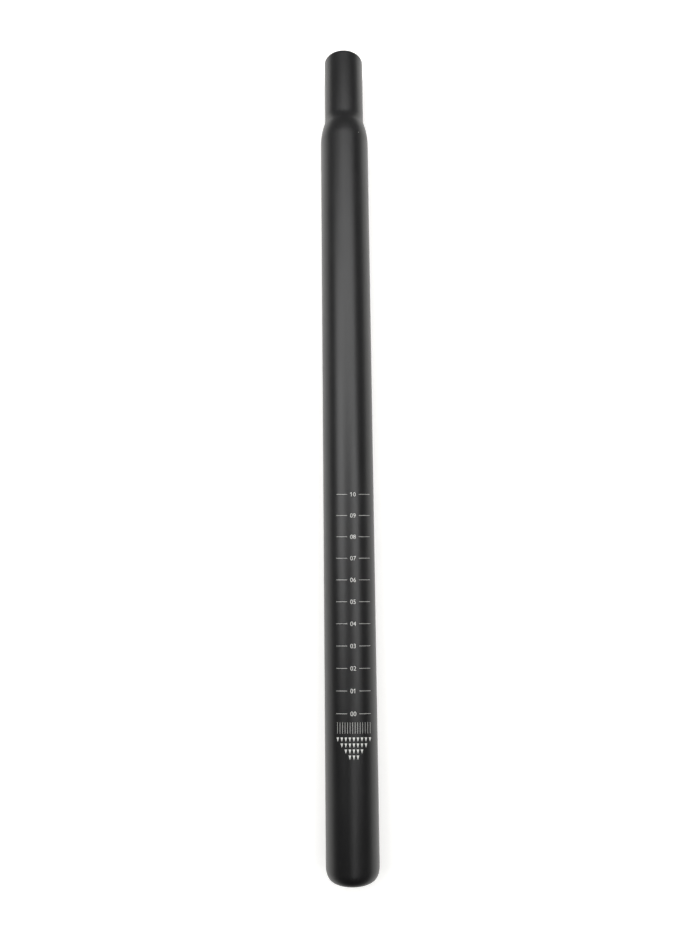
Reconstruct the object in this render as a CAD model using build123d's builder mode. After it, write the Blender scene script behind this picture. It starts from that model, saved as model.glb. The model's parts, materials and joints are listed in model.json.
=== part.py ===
"""Straight bicycle seatpost: one alloy tube, swaged to a neck at the top and spun in at the foot.

Millimetres. The post lies on a surface at Z = 0, with its axis along Y: the foot, which goes into the
frame's seat tube, is at -Y, and the neck, which takes the saddle clamp, is at +Y. The origin is on the
surface, under the middle of the post's length.
"""
import os

from build123d import *

# Tube as drawn
length = 450.0
body_diameter = 27.2
body_wall = 2.5

# Neck swaged down for the saddle clamp: squeezing the tube thickens its wall
neck_diameter = 22.2
neck_wall = 3.0
neck_length = 40.0
shoulder_length = 13.0
shoulder_root_radius = 18.0
neck_end_land = 1.5

# Foot spun in, so that the post starts into the seat tube without catching
foot_spin_length = 6.0
foot_spin_in = 1.4
foot_end_land = 0.9

# Burr taken off the bore's edge at both ends
bore_edge_break = 0.35

body_radius = body_diameter / 2
bore_radius = body_radius - body_wall
neck_radius = neck_diameter / 2
neck_bore_radius = neck_radius - neck_wall
neck_land_radius = neck_bore_radius + neck_end_land
foot_mouth_radius = bore_radius - foot_spin_in
foot_land_radius = foot_mouth_radius + foot_end_land

# Heights along the tube, from the foot
shoulder_end = length - neck_length
shoulder_start = shoulder_end - shoulder_length
neck_edge_start = length - (neck_radius - neck_land_radius)

# Half section of the tube: radius along the plane's X, height along its Y
section_plane = Plane.XY.move(Location((0, -length / 2, body_radius)))
tube_axis = Axis(section_plane.origin, section_plane.y_dir)

with BuildPart() as seatpost:
    with BuildSketch(section_plane) as half_section:
        with BuildLine():
            # Outside, from the foot's flat land up to the neck's rounded end
            EllipticalCenterArc(
                (foot_land_radius, foot_spin_length),
                body_radius - foot_land_radius,
                foot_spin_length,
                start_angle=270,
                arc_size=90,
            )
            Line((body_radius, foot_spin_length), (body_radius, shoulder_start))
            TangentArc((body_radius, shoulder_start), (neck_radius, shoulder_end), tangent=(0, 1))
            Line((neck_radius, shoulder_end), (neck_radius, neck_edge_start))
            TangentArc((neck_radius, neck_edge_start), (neck_land_radius, length), tangent=(0, 1))
            # Inside, from the neck's bore back down to the foot's narrowed mouth
            Polyline((neck_land_radius, length), (neck_bore_radius, length), (neck_bore_radius, shoulder_end))
            TangentArc((bore_radius, shoulder_start), (neck_bore_radius, shoulder_end), tangent=(0, 1))
            Line((bore_radius, shoulder_start), (bore_radius, foot_spin_length))
            TangentArc((bore_radius, foot_spin_length), (foot_mouth_radius, foot_end_land), tangent=(0, -1))
            Polyline((foot_mouth_radius, foot_end_land), (foot_mouth_radius, 0), (foot_land_radius, 0))
        make_face()

        corners = half_section.vertices()
        shoulder_root = corners.sort_by_distance((neck_radius, shoulder_end))[0]
        bore_root = corners.sort_by_distance((neck_bore_radius, shoulder_end))[0]
        foot_mouth = corners.sort_by_distance((foot_mouth_radius, 0))[0]
        neck_mouth = corners.sort_by_distance((neck_bore_radius, length))[0]
        chamfer([foot_mouth, neck_mouth], length=bore_edge_break)
        fillet([shoulder_root, bore_root], radius=shoulder_root_radius)
    revolve(axis=tube_axis)

seatpost.part.label = "seatpost"

os.makedirs("parts", exist_ok=True)
export_step(seatpost.part, "parts/seatpost.step")
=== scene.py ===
"""Straight bicycle seatpost, finished: black anodised tube with its pale laser-marked insertion scale.

Metres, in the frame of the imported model: the post lies on Z = 0 along Y, foot at -Y and neck at +Y.
"""
import json
import math

import bmesh
import bpy
from mathutils import Matrix, Vector
from mathutils.bvhtree import BVHTree


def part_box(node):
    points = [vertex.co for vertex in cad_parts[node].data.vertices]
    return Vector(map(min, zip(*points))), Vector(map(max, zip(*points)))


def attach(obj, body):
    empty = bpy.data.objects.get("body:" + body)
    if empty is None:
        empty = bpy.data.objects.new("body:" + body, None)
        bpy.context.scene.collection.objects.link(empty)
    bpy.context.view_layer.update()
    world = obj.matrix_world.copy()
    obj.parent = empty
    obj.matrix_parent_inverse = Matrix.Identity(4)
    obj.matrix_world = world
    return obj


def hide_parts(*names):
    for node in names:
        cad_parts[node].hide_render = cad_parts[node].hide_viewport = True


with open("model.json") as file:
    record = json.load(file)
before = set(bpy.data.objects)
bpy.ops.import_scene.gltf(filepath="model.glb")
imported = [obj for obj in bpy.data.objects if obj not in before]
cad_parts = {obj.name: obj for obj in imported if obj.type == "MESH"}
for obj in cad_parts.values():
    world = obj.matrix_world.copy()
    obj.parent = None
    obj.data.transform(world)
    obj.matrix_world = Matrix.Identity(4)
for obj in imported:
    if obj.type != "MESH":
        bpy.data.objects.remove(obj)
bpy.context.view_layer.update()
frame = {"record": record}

# The post is one drawn tube of aluminium alloy. A swaging die squeezes its top down to the neck that
# takes the saddle clamp, and a roller spins its foot in, so that it starts into the frame's seat tube.
MM = 0.001
BODY_WALL = 2.5 * MM
NECK_WALL = 3.0 * MM
SHOULDER_LENGTH = 13.0 * MM
SHOULDER_ROOT = 18.0 * MM
NECK_LAND = 1.5 * MM
FOOT_SPIN_IN = 1.4 * MM
FOOT_LAND = 0.9 * MM
BORE_EDGE_BREAK = 0.35 * MM
TUBE_STEPS = 240
ARC_STEPS = 14
WELD = 0.002 * MM
SHARP_EDGE = math.radians(25)
SLANT = Vector((0.31, 0.73, 0.61))

fits = {mount["name"]: mount for mount in frame["record"]["mounts"]}


def fit_cylinder(name):
    """Radius of one of the post's two fits, and where its straight wall starts and ends along Y."""
    fit = fits[name]
    half_length = fit["dims"]["length_mm"] * MM / 2
    middle = fit["pos_m"][1]
    return fit["dims"]["r_mm"] * MM, middle - half_length, middle + half_length


body_radius, body_start, body_end = fit_cylinder("seat_tube_fit")
neck_radius, _, neck_end = fit_cylinder("saddle_clamp_fit")
tube_low, tube_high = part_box("seatpost")
foot_tip = tube_low.y
neck_tip = tube_high.y
axis_height = body_radius

bore = body_radius - BODY_WALL
neck_bore = neck_radius - NECK_WALL
neck_land_radius = neck_bore + NECK_LAND
foot_mouth = bore - FOOT_SPIN_IN
foot_land_radius = foot_mouth + FOOT_LAND
foot_curl = body_radius - foot_land_radius


def swaged_step(wide, narrow):
    """Crown radius, length and steepest slope of the S-shaped step from the body to the neck."""
    step = wide - narrow
    crown = (step ** 2 + SHOULDER_LENGTH ** 2) / (2 * step)
    both = crown + SHOULDER_ROOT
    rise = math.sqrt(2 * step * both - step ** 2)
    return crown, rise, math.degrees(math.asin(rise / both))


crown, rise, slope = swaged_step(body_radius, neck_radius)
bore_crown, bore_rise, bore_slope = swaged_step(bore, neck_bore)
lip_length = body_start - foot_tip - FOOT_LAND
lip_crown = (FOOT_SPIN_IN ** 2 + lip_length ** 2) / (2 * FOOT_SPIN_IN)
lip_slope = math.degrees(math.asin(lip_length / lip_crown))

# Half section of the wall, once round: a straight run to each point (radius, Y), and where a centre is
# given, an arc about it from there. A point that is left out carries on from the last arc's end.
section = (
    ((body_radius, body_end), (body_radius - crown, body_end), slope),
    (None, (neck_radius + SHOULDER_ROOT, body_end + rise), -slope),
    ((neck_radius, neck_end), (neck_land_radius, neck_end), 90),
    ((neck_bore + BORE_EDGE_BREAK, neck_tip), None, 0),
    ((neck_bore, neck_tip - BORE_EDGE_BREAK), None, 0),
    ((neck_bore, body_end + bore_rise), (neck_bore + SHOULDER_ROOT, body_end + bore_rise), bore_slope),
    (None, (bore - bore_crown, body_end), -bore_slope),
    ((bore, body_start), (bore - lip_crown, body_start), -lip_slope),
    ((foot_mouth, foot_tip + BORE_EDGE_BREAK), None, 0),
    ((foot_mouth + BORE_EDGE_BREAK, foot_tip), None, 0),
)


def turn_arc(bm, start, centre, angle):
    """Arc of the section, spun from a vertex about a centre; gives its last vertex."""
    spun = bmesh.ops.spin(
        bm,
        geom=[start],
        cent=(*centre, axis_height),
        axis=(0, 0, 1),
        angle=math.radians(angle),
        steps=ARC_STEPS,
    )
    return [end for end in spun["geom_last"] if isinstance(end, bmesh.types.BMVert)][0]


def mesh_piece(name, bm):
    """Object at the origin that holds a finished bmesh."""
    mesh = bpy.data.meshes.new(name)
    bm.to_mesh(mesh)
    bm.free()
    piece = bpy.data.objects.new(name, mesh)
    bpy.context.scene.collection.objects.link(piece)
    return piece


# The foot's curl is an arc stretched along the tube, and the rest of the section follows from its end.
bm = bmesh.new()
foot_edge = bm.verts.new((foot_land_radius, body_start - foot_curl, axis_height))
here = turn_arc(bm, foot_edge, (foot_land_radius, body_start), 90)
bmesh.ops.scale(
    bm,
    verts=bm.verts,
    vec=(1, (body_start - foot_tip) / foot_curl, 1),
    space=Matrix.Translation((0, -body_start, 0)),
)
for point, centre, angle in section:
    if point is not None:
        there = bm.verts.new((*point, axis_height))
        bm.edges.new((here, there))
        here = there
    if centre is not None:
        here = turn_arc(bm, here, centre, angle)
bm.edges.new((here, foot_edge))
bmesh.ops.spin(
    bm,
    geom=bm.verts[:] + bm.edges[:],
    cent=(0, 0, axis_height),
    axis=(0, 1, 0),
    angle=math.tau,
    steps=TUBE_STEPS,
    use_merge=True,
)
bmesh.ops.remove_doubles(bm, verts=bm.verts, dist=WELD)
bmesh.ops.recalc_face_normals(bm, faces=bm.faces)
# The spin makes its faces in an order that changes from run to run. Sorted along a slanted line, on which
# no two of them lie level, they keep one order.
bm.faces.sort(key=lambda face: face.calc_center_median().dot(SLANT))
for face in bm.faces:
    face.smooth = True
tube_surface = BVHTree.FromBMesh(bm)
tube = mesh_piece("post_tube", bm)
tube.data.set_sharp_from_angle(angle=SHARP_EDGE)


def linear(hex_colour):
    """Linear RGBA of an sRGB hex colour such as "#1A1A1B"."""
    parts = [int(hex_colour[place:place + 2], 16) / 255 for place in (1, 3, 5)]
    return [c / 12.92 if c <= 0.04045 else ((c + 0.055) / 1.055) ** 2.4 for c in parts] + [1.0]


def new_finish(name):
    """New material, with its node tree and its shader."""
    finish = bpy.data.materials.new(name)
    finish.use_nodes = True
    return finish, finish.node_tree, finish.node_tree.nodes["Principled BSDF"]


def add_node(tree, kind, inputs, **settings):
    """New node with its settings made and its inputs set to values or linked from other sockets."""
    node = tree.nodes.new(kind)
    for name, value in settings.items():
        setattr(node, name, value)
    for name, value in inputs.items():
        if isinstance(value, bpy.types.NodeSocket):
            tree.links.new(value, node.inputs[name])
        else:
            node.inputs[name].default_value = value
    return node


# Black anodised aluminium over a fine blasted surface: a dyed oxide layer, so nearly black with a
# broad satin sheen and bright grazing edges. Its grain is really about 0.05 mm and is drawn coarser,
# to show. Faint streaks follow the way the tube was drawn, handling leaves the sheen uneven, and a
# small nick at the shoulder shows bare metal.
OXIDE_IOR = 1.54
SMOOTHEST = 0.34
ROUGHEST = 0.39
DYE_DEEP = "#0B0B0C"
DYE_THIN = "#101011"
BARE_METAL = "#A9A9A6"
GRAIN = 0.4 * MM
GRAIN_HEIGHT = 0.05 * MM
STREAK_WIDTH = 0.7 * MM
STREAK_LENGTH = 90 * MM
CLOUD = 28 * MM
NICK = 0.6 * MM
NICK_PLACE = (8.2 * MM, 173.2 * MM, 24.4 * MM)

anodised, tree, shader = new_finish("black_anodised_aluminium")
place = add_node(tree, "ShaderNodeTexCoord", {}).outputs["Object"]
grain = add_node(tree, "ShaderNodeTexNoise", {"Vector": place, "Scale": 1 / GRAIN, "Detail": 3.0})
along = add_node(
    tree,
    "ShaderNodeMapping",
    {"Vector": place, "Scale": (1 / STREAK_WIDTH, 1 / STREAK_LENGTH, 1 / STREAK_WIDTH)},
)
streaks = add_node(tree, "ShaderNodeTexNoise", {"Vector": along.outputs[0], "Scale": 1.0, "Detail": 4.0})
clouds = add_node(tree, "ShaderNodeTexNoise", {"Vector": place, "Scale": 1 / CLOUD, "Detail": 2.0})
uneven = add_node(
    tree,
    "ShaderNodeMix",
    {"Factor": 0.5, "A": streaks.outputs["Fac"], "B": clouds.outputs["Fac"]},
)
sheen = add_node(
    tree,
    "ShaderNodeMapRange",
    {
        "Value": uneven.outputs["Result"],
        "From Min": 0.3,
        "From Max": 0.7,
        "To Min": SMOOTHEST,
        "To Max": ROUGHEST,
    },
)
dye = add_node(
    tree,
    "ShaderNodeMix",
    {"Factor": clouds.outputs["Fac"], "A": linear(DYE_DEEP), "B": linear(DYE_THIN)},
    data_type="RGBA",
)
chip = add_node(tree, "ShaderNodeVectorMath", {0: place, 1: NICK_PLACE}, operation="DISTANCE")
bare = add_node(
    tree,
    "ShaderNodeMapRange",
    {
        "Value": chip.outputs["Value"],
        "From Min": 0.3 * NICK,
        "From Max": 0.5 * NICK,
        "To Min": 1.0,
        "To Max": 0.0,
    },
)
worn = add_node(
    tree,
    "ShaderNodeMix",
    {"Factor": bare.outputs["Result"], "A": dye.outputs["Result"], "B": linear(BARE_METAL)},
    data_type="RGBA",
)
blasted = add_node(
    tree,
    "ShaderNodeBump",
    {"Height": grain.outputs["Fac"], "Strength": 0.5, "Distance": GRAIN_HEIGHT},
)
shader.inputs["IOR"].default_value = OXIDE_IOR
tree.links.new(worn.outputs["Result"], shader.inputs["Base Color"])
tree.links.new(sheen.outputs["Result"], shader.inputs["Roughness"])
tree.links.new(blasted.outputs["Normal"], shader.inputs["Normal"])

tube.data.materials.append(anodised)
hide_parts("seatpost")
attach(tube, "root")

# Ticks of the insertion scale: hairlines that a laser has bleached in the black layer, in pairs with room
# for a numeral between. The ray swings out from a head above the tube, so straight marks bend a little
# where the tube falls away, and the tube lay slightly askew. A mark is a thin plate sunk in the surface.
SCALE_ZERO = 81.87 * MM
SCALE_STEP = 11.01 * MM
SCALE_COUNT = 11
TICK_INNER = 3.05 * MM
TICK_LENGTH = 5.6 * MM
TICK_WIDTH = 0.165 * MM
LASER_HEAD = Vector((2 * MM, -72 * MM, 450 * MM))
PRINT_OFFSET = 1.2 * MM
PRINT_TURN = math.radians(-0.6)
MARK_DEPTH = 0.03 * MM
MARK_PROUD = 0.008 * MM
STRIP_WIDTH = 0.3 * MM

# Oxide bleached by the laser: a pale, dry, matt grey white. The burning leaves a fine grain, which is
# drawn coarser, to show.
BURN_GREY = "#CFCFCB"
BURN_WHITE = "#E9E9E6"
BURN_GRAIN = 0.12 * MM
BURN_ROUGHNESS = 0.6

bleached, tree, shader = new_finish("laser_bleached_oxide")
place = add_node(tree, "ShaderNodeTexCoord", {}).outputs["Object"]
burn = add_node(tree, "ShaderNodeTexNoise", {"Vector": place, "Scale": 1 / BURN_GRAIN, "Detail": 2.0})
pale = add_node(
    tree,
    "ShaderNodeMix",
    {"Factor": burn.outputs["Fac"], "A": linear(BURN_GREY), "B": linear(BURN_WHITE)},
    data_type="RGBA",
)
shader.inputs["Roughness"].default_value = BURN_ROUGHNESS
tree.links.new(pale.outputs["Result"], shader.inputs["Base Color"])


def burnt_mark(name, bm):
    """Piece of closed flat marks, cut into strips and cast on the tube from the laser's head."""
    reach = max(abs(vert.co.x) for vert in bm.verts)
    cuts = math.ceil(reach / STRIP_WIDTH)
    for cut in range(-cuts, cuts + 1):
        bmesh.ops.bisect_plane(
            bm,
            geom=bm.verts[:] + bm.edges[:] + bm.faces[:],
            plane_co=(cut * STRIP_WIDTH, 0, 0),
            plane_no=(1, 0, 0),
        )
    bmesh.ops.remove_doubles(bm, verts=bm.verts, dist=WELD)
    bmesh.ops.rotate(bm, verts=bm.verts, cent=(0, 0, 0), matrix=Matrix.Rotation(PRINT_TURN, 3, "Z"))
    bmesh.ops.translate(bm, verts=bm.verts, vec=(PRINT_OFFSET, foot_tip + SCALE_ZERO, 0))
    for vert in bm.verts:
        aim = Vector((vert.co.x, vert.co.y, axis_height + body_radius))
        struck, outward, _, _ = tube_surface.ray_cast(LASER_HEAD, aim - LASER_HEAD)
        vert.co = struck + outward * (MARK_PROUD + vert.co.z)
    bmesh.ops.recalc_face_normals(bm, faces=bm.faces)
    piece = mesh_piece(name, bm)
    piece.data.materials.append(bleached)
    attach(piece, "root")


def add_bar(bm, centre, width, height):
    """Flat closed bar on the print, its top face at height zero; gives its vertices."""
    bar = bmesh.ops.create_cube(bm, size=1.0)["verts"]
    bmesh.ops.scale(bm, verts=bar, vec=(width, height, MARK_DEPTH))
    bmesh.ops.translate(bm, verts=bar, vec=(*centre, -MARK_DEPTH / 2))
    return bar


bm = bmesh.new()
for row in range(SCALE_COUNT):
    for side in (-1, 1):
        middle = side * (TICK_INNER + TICK_LENGTH / 2)
        add_bar(bm, (middle, row * SCALE_STEP), TICK_LENGTH, TICK_WIDTH)
burnt_mark("scale_ticks", bm)

# Numerals of the scale, two figures each, bleached by the same laser between the ticks. They count its
# steps up from the least insertion, so that a saddle height can be found again. The font's figures are
# 0.7 of its size high and 0.5 of it apart. Its 1 is a bare stem, so each 1 gets a flag, by row and side.
NUMERAL_HEIGHT = 2.2 * MM
FIGURE_SHARE = 0.7
FIGURE_ADVANCE = 0.5
FIGURE_THINNING = 0.005
FLAG_LENGTH = 0.85 * MM
FLAG_WIDTH = 0.28 * MM
FLAG_SLANT = math.radians(40)
FLAG_PLACES = ((1, 1), (10, -1))
font_size = NUMERAL_HEIGHT / FIGURE_SHARE

text = bpy.data.curves.new("numerals", "FONT")
text.body = "\n".join(f"{row:02d}" for row in reversed(range(SCALE_COUNT)))
text.align_x = "CENTER"
text.space_line = SCALE_STEP / font_size
text.offset = -FIGURE_THINNING
text.extrude = 0.5
text.resolution_u = 3
writing = bpy.data.objects.new("numerals", text)
bpy.context.scene.collection.objects.link(writing)
bpy.context.view_layer.update()
flat = bpy.data.meshes.new_from_object(writing.evaluated_get(bpy.context.evaluated_depsgraph_get()))
bpy.data.objects.remove(writing)
bm = bmesh.new()
bm.from_mesh(flat)
bpy.data.meshes.remove(flat)
bmesh.ops.scale(bm, verts=bm.verts, vec=(font_size, font_size, MARK_DEPTH))
lowest = min(vert.co.y for vert in bm.verts)
bmesh.ops.translate(bm, verts=bm.verts, vec=(0, -lowest - NUMERAL_HEIGHT / 2, -MARK_DEPTH / 2))
for row, side in FLAG_PLACES:
    flag = add_bar(bm, (-FLAG_LENGTH / 2, 0), FLAG_LENGTH, FLAG_WIDTH)
    bmesh.ops.rotate(bm, verts=flag, cent=(0, 0, 0), matrix=Matrix.Rotation(FLAG_SLANT, 3, "Z"))
    stem = side * FIGURE_ADVANCE / 2 * font_size
    top = row * SCALE_STEP + NUMERAL_HEIGHT / 2 - FLAG_WIDTH / 2
    bmesh.ops.translate(bm, verts=flag, vec=(stem, top, 0))
burnt_mark("scale_numerals", bm)

# Fence of upright bars below the scale, bleached like the ticks. It is a common mark on such posts: the
# bars have to stay inside the frame's seat tube, or too little of the post is held.
BAR_COUNT = 14
BAR_PITCH = 1.255 * MM
BAR_WIDTH = 0.145 * MM
BAR_TOP = 4.1 * MM
BAR_LENGTH = 5.4 * MM
BLOCK_ASIDE = 0.25 * MM

bm = bmesh.new()
for bar in range(BAR_COUNT):
    across = BLOCK_ASIDE + (bar - (BAR_COUNT - 1) / 2) * BAR_PITCH
    add_bar(bm, (across, -BAR_TOP - BAR_LENGTH / 2), BAR_WIDTH, BAR_LENGTH)
burnt_mark("insertion_bars", bm)

# Tapering rows of small arrowheads under the bars, each bleached as a solid triangle. They point the way
# that the post goes into the frame. A triangle in a circle of radius 1 is sqrt(3) wide and 1.5 high.
ARROW_ROWS = (9, 7, 5, 3)
ARROW_PITCH = 2.0 * MM
ARROW_WIDTH = 1.25 * MM
ARROW_HEIGHT = 2.1 * MM
ARROW_TOP = 11.3 * MM
ARROW_ROW_STEP = 2.85 * MM
arrow_scale = (ARROW_WIDTH / math.sqrt(3), ARROW_HEIGHT / 1.5, MARK_DEPTH)

bm = bmesh.new()
for row, count in enumerate(ARROW_ROWS):
    down = ARROW_TOP + ARROW_HEIGHT / 3 + row * ARROW_ROW_STEP
    for arrow in range(count):
        across = BLOCK_ASIDE + (arrow - (count - 1) / 2) * ARROW_PITCH
        prism = bmesh.ops.create_cone(bm, cap_ends=True, segments=3, radius1=1.0, radius2=1.0, depth=1.0)
        head = prism["verts"]
        bmesh.ops.rotate(bm, verts=head, cent=(0, 0, 0), matrix=Matrix.Rotation(math.pi, 3, "Z"))
        bmesh.ops.scale(bm, verts=head, vec=arrow_scale)
        bmesh.ops.translate(bm, verts=head, vec=(across, -down, -MARK_DEPTH / 2))
burnt_mark("insertion_arrows", bm)

# Stage: a matt white table top. A little light of its own, for the camera and for reflections, lifts it
# to the white of the picture and leaves the post's soft shadow on it.
FLOOR_SIZE = 5.0
FLOOR_WHITE = "#F3F2EF"
FLOOR_LIFT = 0.42

bm = bmesh.new()
bmesh.ops.create_grid(bm, x_segments=1, y_segments=1, size=FLOOR_SIZE / 2)
floor = mesh_piece("floor", bm)
white, tree, shader = new_finish("white_table")
rays = add_node(tree, "ShaderNodeLightPath", {}).outputs
seen = rays["Is Camera Ray"]
for kind in ("Is Glossy Ray", "Is Transmission Ray"):
    seen = add_node(tree, "ShaderNodeMath", {0: seen, 1: rays[kind]}, operation="MAXIMUM").outputs[0]
lift = add_node(tree, "ShaderNodeMath", {0: seen, 1: FLOOR_LIFT}, operation="MULTIPLY")
shader.inputs["Base Color"].default_value = linear(FLOOR_WHITE)
shader.inputs["Roughness"].default_value = 0.9
shader.inputs["Specular IOR Level"].default_value = 0.1
shader.inputs["Emission Color"].default_value = (1.0, 1.0, 1.0, 1.0)
tree.links.new(lift.outputs[0], shader.inputs["Emission Strength"])
floor.data.materials.append(white)

# Four lamps hang level a metre above the table, each given by its centre, its size and how bright it is:
# a broad softbox beyond the neck, a panel at each side and a small lamp past the foot. A lamp's power is
# four times its area times its radiance.
LAMP_HEIGHT = 1.0
for name, centre, size, radiance in (
    ("softbox", (0.22, 0.51), (1.17, 0.75), 2.35),
    ("panel_left", (-0.74, 0.25), (0.86, 0.96), 2.8),
    ("panel_right", (0.63, -0.1), (0.64, 0.45), 3.0),
    ("lamp_low", (0.16, -0.5), (0.4, 0.2), 2.3),
):
    lamp = bpy.data.lights.new(name, "AREA")
    lamp.shape = "RECTANGLE"
    lamp.size, lamp.size_y = size
    lamp.energy = 4 * size[0] * size[1] * radiance
    holder = bpy.data.objects.new(name, lamp)
    holder.location = (*centre, LAMP_HEIGHT)
    bpy.context.scene.collection.objects.link(holder)

# The room is grey round about and dark overhead, a little more so towards the foot, so that the sheen
# along the top of the post comes from the lamps.
ROOM_LEVEL = 0.25
ROOM_SHADED = 0.02
SHADED_SIDE = (0.0, -0.2, 0.98)
SHADE_STARTS = 0.15
SHADE_FULL = 0.55

world = bpy.data.worlds.new("room")
world.use_nodes = True
tree = world.node_tree
look = add_node(tree, "ShaderNodeTexCoord", {}).outputs["Generated"]
shaded = add_node(tree, "ShaderNodeVectorMath", {0: look, 1: SHADED_SIDE}, operation="DOT_PRODUCT")
dim = add_node(
    tree,
    "ShaderNodeMapRange",
    {
        "Value": shaded.outputs["Value"],
        "From Min": SHADE_STARTS,
        "From Max": SHADE_FULL,
        "To Min": ROOM_LEVEL,
        "To Max": ROOM_SHADED,
    },
)
tree.nodes["Background"].inputs["Color"].default_value = (1.0, 1.0, 1.0, 1.0)
tree.links.new(dim.outputs["Result"], tree.nodes["Background"].inputs["Strength"])
bpy.context.scene.world = world

# Camera close above the post, tipped a little towards the neck, with a wide lens: its focal length is
# given in pixels of the picture, whose longer side spans the sensor.
CAMERA_PLACE = (0.6 * MM, -69.7 * MM, 390.6 * MM)
CAMERA_PITCH = math.radians(8.04)
CAMERA_YAW = math.radians(-0.47)
CAMERA_ROLL = math.radians(-0.22)
FOCAL_PIXELS = 700
IMAGE_HEIGHT = 933
SENSOR = 36.0

lens = bpy.data.cameras.new("camera")
lens.sensor_width = SENSOR
lens.lens = SENSOR * FOCAL_PIXELS / IMAGE_HEIGHT
lens.clip_start = 0.01
camera = bpy.data.objects.new("camera", lens)
camera.matrix_world = (
    Matrix.Translation(CAMERA_PLACE)
    @ Matrix.Rotation(CAMERA_YAW, 4, "Z")
    @ Matrix.Rotation(CAMERA_PITCH, 4, "X")
    @ Matrix.Rotation(CAMERA_ROLL, 4, "Z")
)
bpy.context.scene.collection.objects.link(camera)
bpy.context.scene.camera = camera
bpy.context.scene.view_settings.view_transform = "Standard"
